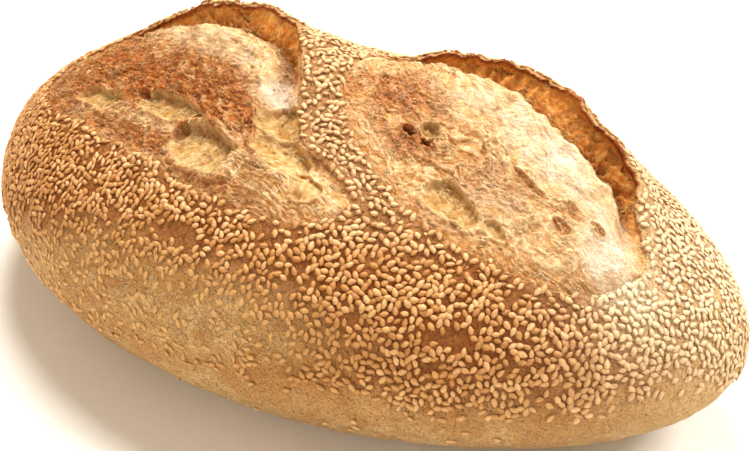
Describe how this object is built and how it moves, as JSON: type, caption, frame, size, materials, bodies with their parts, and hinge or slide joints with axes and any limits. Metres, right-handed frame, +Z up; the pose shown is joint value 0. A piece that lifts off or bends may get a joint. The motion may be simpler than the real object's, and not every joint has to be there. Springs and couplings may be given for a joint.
{
  "type": "rustic bread loaf",
  "caption": "Oval hearth loaf with a flat base, a seeded brown crust, and two long slashes burst open into pale blooms behind raised ears.",
  "frame": {"origin": "middle of the bounding box's floor, on the flat base that the loaf rests on", "axes": "+X along the loaf, +Y towards the side that the ears stand on, +Z up"},
  "size_m": [0.282, 0.1582, 0.104],
  "materials": {
    "crust": "baked bread crust, matte, with sesame seeds and floury torn crumb"
  },
  "bodies": {
    "root": {"loaf": "crust"}
  },
  "joints": []
}
